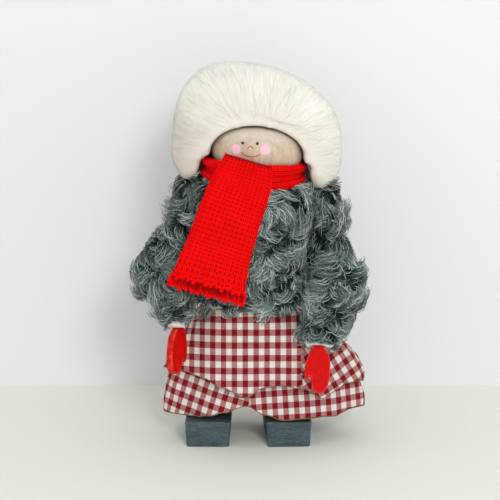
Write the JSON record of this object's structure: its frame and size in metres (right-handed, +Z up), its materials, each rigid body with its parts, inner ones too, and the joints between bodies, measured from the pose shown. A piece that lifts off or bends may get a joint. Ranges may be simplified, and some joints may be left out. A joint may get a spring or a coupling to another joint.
{
  "type": "gnome doll",
  "caption": "Standing wooden gnome doll with a turned head, combed wool hair, curly fur coat, knitted scarf, checked skirts, flat mittens and block shoes; head, arms and mittens turn",
  "frame": {"origin": "centre of the bounding box in plan, on the floor plane under the soles", "axes": "+Z up, the figure faces -Y, +X is to the right of someone who looks at its face"},
  "size_m": [0.1784, 0.1224, 0.2936],
  "materials": {
    "head_wood": "fine sanded pale wood with painted eyes, nose, mouth and cheeks",
    "hair_wool": "combed cream wool, felted",
    "plain_wood": "bare turned wood",
    "shoe_wood": "dark blue-grey stain over open grain",
    "coat_fur": "curly grey sheepskin, fur outside",
    "mitten_wood": "thin red paint on sawn wood",
    "scarf_knit": "red stocking-stitch wool",
    "gingham_cloth": "burgundy and cream woven cotton check"
  },
  "bodies": {
    "torso": {"body_core": "plain_wood", "neck_dowel": "plain_wood", "shoulder_axle": "plain_wood", "left_leg": "plain_wood", "right_leg": "plain_wood", "left_shoe": "shoe_wood", "right_shoe": "shoe_wood", "jacket_body": "coat_fur", "scarf_wrap": "scarf_knit", "scarf_tail": "scarf_knit", "overskirt": "gingham_cloth", "underskirt": "gingham_cloth"},
    "head": {"head": "head_wood", "hair": "hair_wool"},
    "left_arm": {"left_arm": "plain_wood", "left_sleeve": "coat_fur"},
    "right_arm": {"right_arm": "plain_wood", "right_sleeve": "coat_fur"},
    "left_hand": {"left_mitten": "mitten_wood"},
    "right_hand": {"right_mitten": "mitten_wood"}
  },
  "joints": [
    {"name": "head_turn", "type": "hinge", "parent": "torso", "child": "head", "pos_m": [0.00143, 0.00517, 0.21163], "axis": [0.0698, 0, 0.9976], "range_deg": [-28, 28]},
    {"name": "left_arm_swing", "type": "hinge", "parent": "torso", "child": "left_arm", "pos_m": [-0.0506, 0.00517, 0.18721], "axis": [-0.9976, 0, 0.0698], "range_deg": [-4, 14]},
    {"name": "right_arm_swing", "type": "hinge", "parent": "torso", "child": "right_arm", "pos_m": [0.05594, 0.00517, 0.17975], "axis": [-0.9976, 0, 0.0698], "range_deg": [-3, 60]},
    {"name": "left_mitten_turn", "type": "hinge", "parent": "left_arm", "child": "left_hand", "pos_m": [-0.05671, -0.03023, 0.0998], "axis": [-0.0647, -0.3746, -0.9249], "range_deg": [-50, 50]},
    {"name": "right_mitten_turn", "type": "hinge", "parent": "right_arm", "child": "right_hand", "pos_m": [0.04944, -0.03632, 0.0868], "axis": [-0.0637, -0.4067, -0.9113], "range_deg": [-50, 50]}
  ]
}
